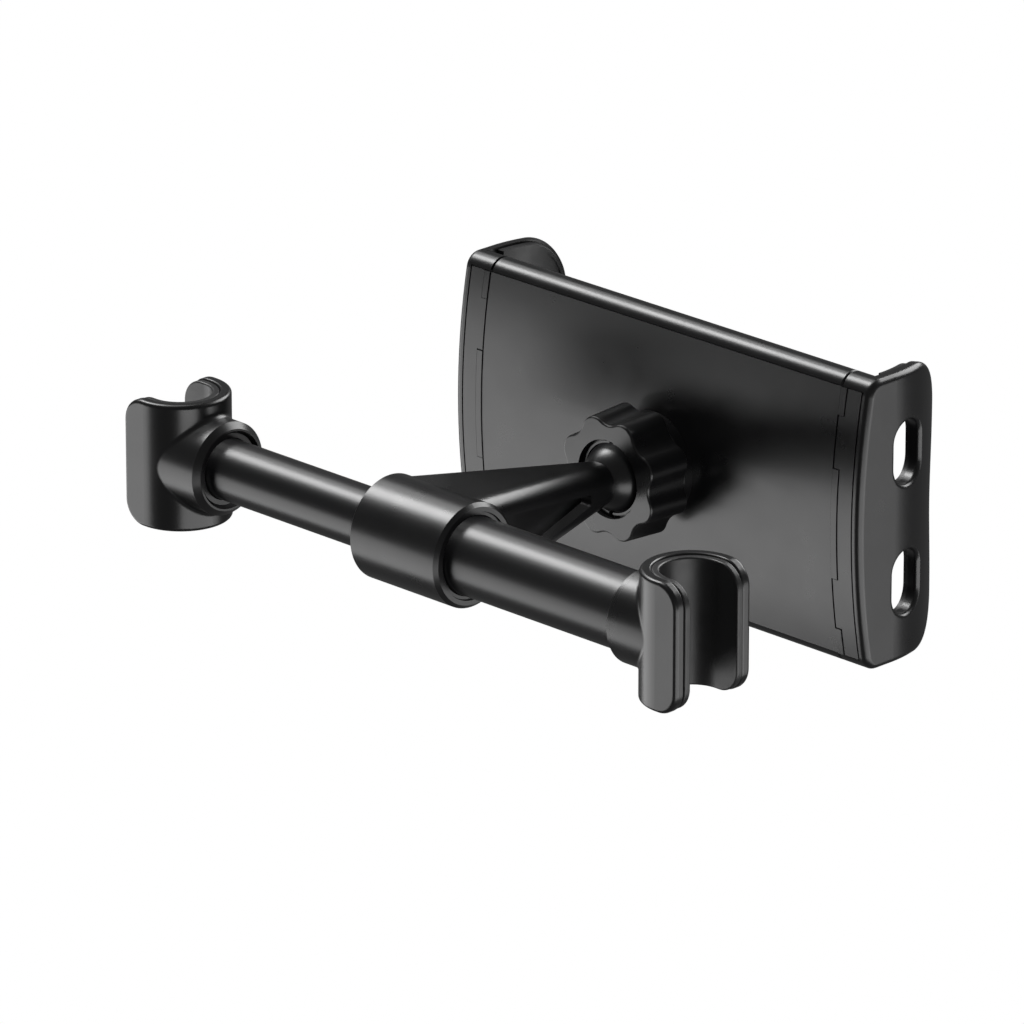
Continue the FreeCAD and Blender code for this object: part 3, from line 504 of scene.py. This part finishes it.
@dataclass
class PostHook(SubAssembly):
    """One hook with its liner and its screw.

    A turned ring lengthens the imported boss: it is seated on the boss's chamfered
    end and repeats that chamfer further out.

    Attributes:
        side: which end of the rod it is on.
        boss_end_x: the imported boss's face, in mm from the middle.
        boss_radius: of the boss, in mm.
        boss_chamfer: of its edge, in mm.
        boss_growth: how much longer the ring makes it, in mm.
        bore_radius: inside of the ring, in mm.
        seat_gap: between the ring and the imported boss, in mm.
    """

    side: Side = Side.RIGHT
    boss_end_x: float = 66.5
    boss_radius: float = 11.2
    boss_chamfer: float = 1.4
    boss_growth: float = 1.0
    bore_radius: float = 9.32
    seat_gap: float = 0.02

    def __post_init__(self) -> None:
        """Name the hook and its nodes after its side."""
        self.title = f"{self.side.name.lower()}_hook"
        self.finishes = {self.title: SATIN_NYLON, f"{self.title}_liner": MOULDED_RUBBER,
                         f"{self.title}_screw": ZINC_PLATE}

    def boss_ring(self) -> TurnedRing:
        """Section of the ring: crest, chamfer, face, bore and the slant of its seat.

        Returns:
            The ring, on the body that carries the hook.
        """
        face_x = self.boss_end_x - self.boss_growth
        seat_x = self.boss_end_x - self.seat_gap
        face_radius = self.boss_radius - self.boss_chamfer
        section = (
            (seat_x + self.boss_chamfer, self.boss_radius),
            (face_x + self.boss_chamfer, self.boss_radius),
            (face_x, face_radius), (face_x, self.bore_radius),
            (seat_x, self.bore_radius), (seat_x, face_radius))
        if self.side is Side.LEFT:
            mirrored = tuple((-x, radius) for x, radius in reversed(section))
            return TurnedRing("left_boss_end", "left_end", mirrored, word="black_plastic")
        return TurnedRing("right_boss_end", "rod_outer", section, word="black_plastic")

    def dress(self, shop: FinishShop) -> None:
        """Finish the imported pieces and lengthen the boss."""
        super().dress(shop)
        self.boss_ring().fit(shop, SATIN_NYLON)


@dataclass
class SwingArm(SubAssembly):
    """The arm with the rings in its collar.

    The right ring is turned here, nearly flush with the collar's end.

    Attributes:
        ring_start_x: its inner end, in mm from the middle.
        ring_face_x: its face, in mm from the middle.
        ring_radius: outside of the ring, in mm.
        ring_bore: radius of its bore, in mm.
        ring_edge: bevel of the face's outer edge, in mm.
        mouth_length: of the bevel at the bore's mouth, in mm.
        mouth_height: of the same bevel, in mm.
    """

    title: str = "arm"
    finishes: Mapping[str, Finish] = field(default_factory=lambda: {
        "swing_arm": SATIN_NYLON, "collar_bush_left": TURNED_ACETAL, "collar_cap": TURNED_ACETAL})
    ring_start_x: float = 4.6
    ring_face_x: float = 13.6
    ring_radius: float = 10.38
    ring_bore: float = 9.26
    ring_edge: float = 0.15
    mouth_length: float = 0.25
    mouth_height: float = 0.24

    def collar_ring(self) -> TurnedRing:
        """Section of the ring: a rectangle with both edges of its face bevelled.

        Returns:
            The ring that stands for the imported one.
        """
        return TurnedRing("turned_collar_ring", "arm", (
            (self.ring_start_x, self.ring_radius),
            (self.ring_face_x - self.ring_edge, self.ring_radius),
            (self.ring_face_x, self.ring_radius - self.ring_edge),
            (self.ring_face_x, self.ring_bore + self.mouth_height),
            (self.ring_face_x - self.mouth_length, self.ring_bore),
            (self.ring_start_x, self.ring_bore)),
            stands_for="collar_bush_right")

    def dress(self, shop: FinishShop) -> None:
        """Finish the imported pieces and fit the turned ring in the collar."""
        super().dress(shop)
        self.collar_ring().fit(shop, TURNED_ACETAL)


@dataclass
class BallJoint(SubAssembly):
    """The friction shells, the slotted collet with its screws and the lobed nut."""

    title: str = "ball joint"
    finishes: Mapping[str, Finish] = field(default_factory=lambda: {
        "ball_cup": TURNED_ACETAL, "ball_pad": TURNED_ACETAL, "ball_socket": SATIN_NYLON,
        "socket_screws": ZINC_PLATE, "clamp_nut": SATIN_NYLON})


@dataclass
class CradleBody(SubAssembly):
    """The middle of the cradle: tray, bulged cover, front pad and screws."""

    title: str = "cradle"
    finishes: Mapping[str, Finish] = field(default_factory=lambda: {
        "front_housing": SATIN_NYLON, "back_cover": SATIN_NYLON, "front_pad": MOULDED_RUBBER,
        "cover_screws": ZINC_PLATE})


@dataclass
class SlidingJaw(SubAssembly):
    """One jaw with its panel, pad and the pair of wound springs that pull it in.

    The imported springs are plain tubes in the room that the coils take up. Here
    each is one wire: an eye round the cover's post, a close coil and an eye
    round the jaw's post.

    Attributes:
        side: which end of the cradle it is.
        anchor_x: the cover's post, in mm from the middle.
        jaw_x: the jaw's post, in mm from the middle.
        spring_z: height of the two springs, in mm either way.
        coil_radius: to the outside of the coil, in mm.
        wire: diameter of the wire, in mm.
        eye_radius: of an eye's middle line, in mm.
        coil_gap: from an eye's centre to the coil, in mm.
        coil_pitch: from one turn to the next, as a share of the wire.
        coil_steps: points on the wire for each turn.
        eye_turn: degrees round an eye, from the wire's tip to the coil.
        eye_steps: points on the wire of an eye.
        wire_steps: points round the wire.
        wire_tip: how far the wire's ends are drawn in, as a share of its width.
        back_y: Y of the bulged back along its middle, in mm.
        back_radius: of the bulge, in mm.
        land_x: ends of the bars beside the tabs, in mm from the middle.
        land_z: end of the middle bar, then start and end of the outer ones, in mm.
        land_floor: how deep the bars reach, in mm.
        land_rise: how far they stand out of the back, in mm.
        land_ease: bevel along their edges, in mm.
        land_steps: rows of points along a bar.
    """

    side: Side = Side.RIGHT
    anchor_x: float = 4.5
    jaw_x: float = 50.0
    spring_z: float = 18.0
    coil_radius: float = 1.25
    wire: float = 0.45
    eye_radius: float = 1.42
    coil_gap: float = 2.1
    coil_pitch: float = 1.06
    coil_steps: int = 14
    eye_turn: tuple[float, float] = (330.0, 15.0)
    eye_steps: int = 26
    wire_steps: int = 6
    wire_tip: float = 0.05
    back_y: float = 72.1
    back_radius: float = 170.0
    land_x: tuple[float, float] = (56.4, 58.15)
    land_z: tuple[float, float, float] = (13.25, 25.9, 32.29)
    land_floor: float = 0.49
    land_rise: float = 0.24
    land_ease: float = 0.06
    land_steps: int = 24

    def __post_init__(self) -> None:
        """Name the jaw and its nodes after its side."""
        self.title = f"{self.name} jaw"
        self.finishes = {f"{self.name}_jaw": SATIN_NYLON, f"{self.name}_jaw_panel": SATIN_NYLON,
                         f"{self.name}_jaw_pad": MOULDED_RUBBER}

    @property
    def name(self) -> str:
        """The jaw's word in the nodes' names."""
        return self.side.name.lower()

    def dress(self, shop: FinishShop) -> None:
        """Finish the jaw's mouldings and pad, wind its springs and lay its bars.

        Args:
            shop: keeps one material for each finish.
        """
        super().dress(shop)
        self.wind_springs(shop)
        self.fit_lands(shop)

    def land_surface(self) -> tuple[np.ndarray, np.ndarray]:
        """Three curved bars that fill the strips beside the panel's tabs.

        A bar's section has six corners (x, depth). It is carried along Z over the
        bulged back, where y = top + R - sqrt((R - depth)^2 - z^2). Two faces of four
        corners close each end.

        Returns:
            Vertices in metres and faces of four corners.
        """
        low_x, high_x = self.land_x
        ease = self.land_ease
        x = np.array([low_x, low_x, low_x + ease, high_x - ease, high_x, high_x])
        edge, crest = ease - self.land_rise, -self.land_rise
        depth = np.array([self.land_floor, edge, crest, crest, edge, self.land_floor])
        sides = grid_faces(self.land_steps, len(x), wrap_columns=True)
        near_end = np.array([[0, 5, 4, 1], [1, 4, 3, 2]])
        far_end = (self.land_steps - 1) * len(x) + near_end[:, ::-1]
        bar_faces = np.concatenate([sides, near_end, far_end])
        inner, middle, outer = self.land_z
        points, faces = [], []
        for start, end in ((-outer, -middle), (-inner, inner), (middle, outer)):
            z = np.linspace(start, end, self.land_steps)[:, None]
            y = self.back_y + self.back_radius - np.sqrt((self.back_radius - depth) ** 2 - z ** 2)
            rows = np.stack(np.broadcast_arrays(x, y, z), axis=-1)
            faces.append(bar_faces + len(points) * self.land_steps * len(x))
            points.append(rows.reshape(-1, 3))
        return np.concatenate(points) * MM, np.concatenate(faces)

    def fit_lands(self, shop: FinishShop) -> None:
        """Lay the bars on the jaw.

        Args:
            shop: keeps one material for each finish.
        """
        points, faces = self.land_surface()
        points[:, 0] *= self.side.value
        piece = mesh_piece(f"{self.name}_jaw_lands", points, faces, flip=self.side is Side.LEFT,
                           smooth=False)
        shop.apply(piece, SATIN_NYLON)
        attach(piece, f"{self.name}_clamp")
        LOG.info("%s, %d faces", piece.name, len(faces))

    def wire_line(self, axis_y: float, axis_z: float) -> tuple[np.ndarray, np.ndarray]:
        """Middle line of one spring's wire and the direction out from its turns.

        An eye is a circle in the XZ plane, (x, z) = post + r (cos t, sin t), run
        from near the coil right round. The coil is a helix about X: x grows by a
        little over the wire's thickness a turn while (y, z) = axis + r (sin t, cos t).
        The three are joined in one row of points.

        Args:
            axis_y: Y of the spring's middle line, in mm.
            axis_z: Z of it, in mm.

        Returns:
            The points and, for each, a vector that points away from the turn's centre.
        """
        radius = self.coil_radius - self.wire / 2.0
        start = self.anchor_x + self.coil_gap
        length = self.jaw_x - self.anchor_x - 2.0 * self.coil_gap
        turns = int(length / (self.wire * self.coil_pitch))
        t = np.linspace(0.0, 2.0 * np.pi * turns, turns * self.coil_steps + 1)
        coil_out = np.stack([np.zeros_like(t), np.sin(t), np.cos(t)], axis=-1)
        coil = coil_out * radius
        coil[:, 0] = start + length * t / t[-1]
        bend = np.linspace(*np.radians(self.eye_turn), self.eye_steps)
        eye_out = np.stack([np.cos(bend), np.zeros_like(bend), np.sin(bend)], axis=-1)
        first = eye_out * self.eye_radius + np.array([self.anchor_x, 0.0, 0.0])
        last_out = eye_out[::-1] * np.array([-1.0, 1.0, 1.0])
        last = last_out * self.eye_radius + np.array([self.jaw_x, 0.0, 0.0])
        line = np.concatenate([first, coil, last])
        line = line + np.array([0.0, axis_y, axis_z])
        line[:, 0] *= self.side.value
        out = np.concatenate([eye_out, coil_out, last_out])
        out[:, 0] *= self.side.value
        return line, out

    def wire_surface(self, line: np.ndarray, out: np.ndarray) -> tuple[np.ndarray, np.ndarray]:
        """Round wire carried along a line.

        At each point the wire's section is line + r (cos v) a + r (sin v) b, where a
        is the outward direction made square to the line and b is square to both.
        The last ring at each end is drawn in almost to the middle.

        Args:
            line: points of the middle line, in mm.
            out: outward direction at each.

        Returns:
            Vertices in metres and faces of four corners.
        """
        ahead = np.gradient(line, axis=0)
        ahead /= np.linalg.norm(ahead, axis=1, keepdims=True)
        across = out - (out * ahead).sum(axis=1, keepdims=True) * ahead
        across /= np.linalg.norm(across, axis=1, keepdims=True)
        third = np.cross(ahead, across)
        v = np.linspace(0.0, 2.0 * np.pi, self.wire_steps, endpoint=False)
        size = np.full(len(line), self.wire / 2.0)
        size[[0, -1]] *= self.wire_tip
        spoke = (np.cos(v)[None, :, None] * across[:, None, :]
                 + np.sin(v)[None, :, None] * third[:, None, :])
        rings = line[:, None, :] + size[:, None, None] * spoke
        faces = grid_faces(len(line), self.wire_steps, wrap_columns=True)
        return rings.reshape(-1, 3) * MM, faces

    def wind_springs(self, shop: FinishShop) -> None:
        """Wind both springs as one piece.

        Args:
            shop: keeps one material for each finish.
        """
        node = f"{self.name}_springs"
        low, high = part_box(node)
        axis_y = (low[1] + high[1]) / 2.0 / MM
        points, faces, count = [], [], 0
        for axis_z in (-self.spring_z, self.spring_z):
            verts, quads = self.wire_surface(*self.wire_line(axis_y, axis_z))
            points.append(verts)
            faces.append(quads + count)
            count += len(verts)
        piece = mesh_piece(f"{self.name}_wound_springs", np.concatenate(points), np.concatenate(faces),
                           flip=self.side is Side.LEFT)
        shop.apply(piece, SPRING_WIRE)
        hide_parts(node)
        f"{self.name}_clamp"
        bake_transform(piece)
        LOG.info("%s: %s, %d faces", self.title, piece.name, len(piece.data.polygons))


@dataclass(frozen=True)
class Softbox:
    """A rectangular studio lamp aimed at the object.

    Attributes:
        name: the lamp's name.
        towards: direction from the object to the lamp.
        distance: metres from the object.
        width: metres across.
        height: metres up.
        radiance: brightness of its face, where 1 is white.
        shadow: whether pieces shade each other from it; a lamp that stands for
            light from all over the room reaches into recesses.
    """

    name: str
    towards: tuple[float, float, float]
    distance: float
    width: float
    height: float
    radiance: float
    shadow: bool = True

    def place(self, aim: Vector) -> None:
        """Hang the lamp.

        Its power is its radiance times its area times pi.

        Args:
            aim: the point that it faces.
        """
        lamp = bpy.data.lights.new(self.name, "AREA")
        lamp.shape = "RECTANGLE"
        lamp.size = self.width
        lamp.size_y = self.height
        lamp.energy = self.radiance * self.width * self.height * math.pi
        body = bpy.data.objects.new(self.name, lamp)
        way = Vector(self.towards).normalized()
        body.location = aim + way * self.distance
        turn = (-way).to_track_quat("-Z", "Y")
        body.rotation_euler = turn.to_euler()
        lamp.use_shadow = self.shadow
        bpy.context.collection.objects.link(body)
        LOG.info("lamp %s at %.2f m", self.name, self.distance)


@dataclass
class Studio:
    """White surroundings, softboxes and the camera.

    Attributes:
        azimuth: degrees that the camera looks round from +Y.
        elevation: degrees that it looks down.
        lens_mm: focal length.
        sensor_mm: width of the camera's sensor.
        camera_mm: the camera's place.
        sight: how far the camera sees, in metres.
        floor_z: height of the floor in metres, well below the hung object.
        floor_half: half the floor's width, in metres.
        floor_points: points along each side of the floor.
        mirrored_white: how bright the surroundings are in reflections.
        fill: how bright they are as light on the object.
        lamps: the softboxes.
    """

    azimuth: float = 45.103
    elevation: float = 20.343
    lens_mm: float = 348.01
    sensor_mm: float = 36.0
    camera_mm: tuple[float, float, float] = (1498.08, -1466.68, 784.17)
    sight: float = 100.0
    floor_z: float = -0.9
    floor_half: float = 6.0
    floor_points: int = 3
    mirrored_white: float = 0.13
    fill: float = 0.2
    lamps: Sequence[Softbox] = (
        Softbox("key_above_left", towards=(-0.627, -0.055, 0.777), distance=1.1,
                width=0.34, height=0.43, radiance=12.5, shadow=False),
        Softbox("key_halo", towards=(-0.62, 0.05, 0.80), distance=1.25,
                width=0.95, height=1.1, radiance=2.4, shadow=False),
        Softbox("low_left", towards=(-0.78, -0.50, -0.37), distance=1.0,
                width=0.9, height=0.6, radiance=2.8),
        Softbox("low_right", towards=(0.90, -0.159, -0.407), distance=1.0,
                width=1.5, height=0.52, radiance=3.2),
        Softbox("low_far_right", towards=(0.752, 0.565, -0.342), distance=1.0,
                width=0.4, height=0.6, radiance=1.9),
        Softbox("back_right", towards=(0.073, 0.835, 0.545), distance=1.0,
                width=0.8, height=0.55, radiance=6.5),
    )

    def surroundings(self) -> None:
        """Light the world: white to the camera, dim in gloss and soft as fill."""
        world = bpy.data.worlds.new("white_room")
        bpy.context.scene.world = world
        world.use_nodes = True
        tree = world.node_tree
        tree.nodes.clear()
        ray = add_node(tree, "ShaderNodeLightPath", {})
        gloss = add_node(tree, "ShaderNodeMath", {"operation": "MULTIPLY", 1: self.mirrored_white},
                         {0: ray.outputs["Is Glossy Ray"]})
        clear = add_node(tree, "ShaderNodeMath", {"operation": "MAXIMUM"},
                         {0: ray.outputs["Is Camera Ray"], 1: ray.outputs["Is Transmission Ray"]})
        seen = add_node(tree, "ShaderNodeMath", {"operation": "MAXIMUM"},
                        {0: clear.outputs[0], 1: gloss.outputs[0]})
        diffuse = add_node(tree, "ShaderNodeMath", {"operation": "MULTIPLY", 1: self.fill},
                           {0: ray.outputs["Is Diffuse Ray"]})
        level = add_node(tree, "ShaderNodeMath", {"operation": "MAXIMUM"},
                         {0: seen.outputs[0], 1: diffuse.outputs[0]})
        back = add_node(tree, "ShaderNodeBackground", {"Color": (1.0, 1.0, 1.0, 1.0)},
                        {"Strength": level.outputs[0]})
        add_node(tree, "ShaderNodeOutputWorld", {}, {"Surface": back.outputs["Background"]})

    def floor_material(self) -> bpy.types.Material:
        """White paper that the camera sees as plain white, and gloss as dim.

        Returns:
            The floor's material.
        """
        material, tree = new_material("white_paper")
        ray = add_node(tree, "ShaderNodeLightPath", {})
        glow = add_node(tree, "ShaderNodeMapRange", {"To Min": self.mirrored_white, "To Max": 1.0},
                        {"Value": ray.outputs["Is Camera Ray"]})
        light = add_node(tree, "ShaderNodeEmission", {"Color": to_linear("#ffffff")},
                         {"Strength": glow.outputs["Result"]})
        add_node(tree, "ShaderNodeOutputMaterial", {}, {"Surface": light.outputs["Emission"]})
        return material

    def floor(self) -> None:
        """Lay the floor: a flat square grid of points (s, t) at one height."""
        across = np.linspace(-self.floor_half, self.floor_half, self.floor_points)
        x, y = np.meshgrid(across, across)
        points = np.stack([x, y, np.full_like(x, self.floor_z)], axis=-1).reshape(-1, 3)
        floor = mesh_piece("floor", points, grid_faces(self.floor_points, self.floor_points))
        floor.data.materials.append(self.floor_material())
        floor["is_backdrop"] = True

    def camera(self) -> None:
        """Set the camera where the photograph was taken from."""
        turn = math.radians(self.azimuth)
        tilt = math.radians(self.elevation)
        way = Vector((-math.sin(turn) * math.cos(tilt), math.cos(turn) * math.cos(tilt),
                      -math.sin(tilt)))
        data = bpy.data.cameras.new("camera")
        data.sensor_width = self.sensor_mm
        data.lens = self.lens_mm
        data.clip_end = self.sight
        body = bpy.data.objects.new("camera", data)
        body.location = Vector(self.camera_mm) * MM
        body.rotation_euler = way.to_track_quat("-Z", "Y").to_euler()
        bpy.context.collection.objects.link(body)
        bpy.context.scene.camera = body

    def build(self) -> None:
        """Put up the whole studio."""
        self.surroundings()
        self.floor()
        self.camera()
        low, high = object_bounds()
        aim = (Vector(low) + Vector(high)) / 2.0
        for lamp in self.lamps:
            lamp.place(aim)
        bpy.context.scene.view_settings.view_transform = "Standard"


def main() -> None:
    """Dress every assembly, light it and note its size."""
    logging.basicConfig(level=logging.INFO, format="%(name)s %(message)s")
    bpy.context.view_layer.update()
    shop = FinishShop()
    groups: Sequence[SubAssembly] = (
        TelescopicRod(), PostHook(side=Side.LEFT), PostHook(side=Side.RIGHT), SwingArm(),
        BallJoint(), CradleBody(), SlidingJaw(side=Side.LEFT), SlidingJaw(side=Side.RIGHT))
    for group in groups:
        group.dress(shop)
    Studio().build()


if __name__ == "__main__":
    main()
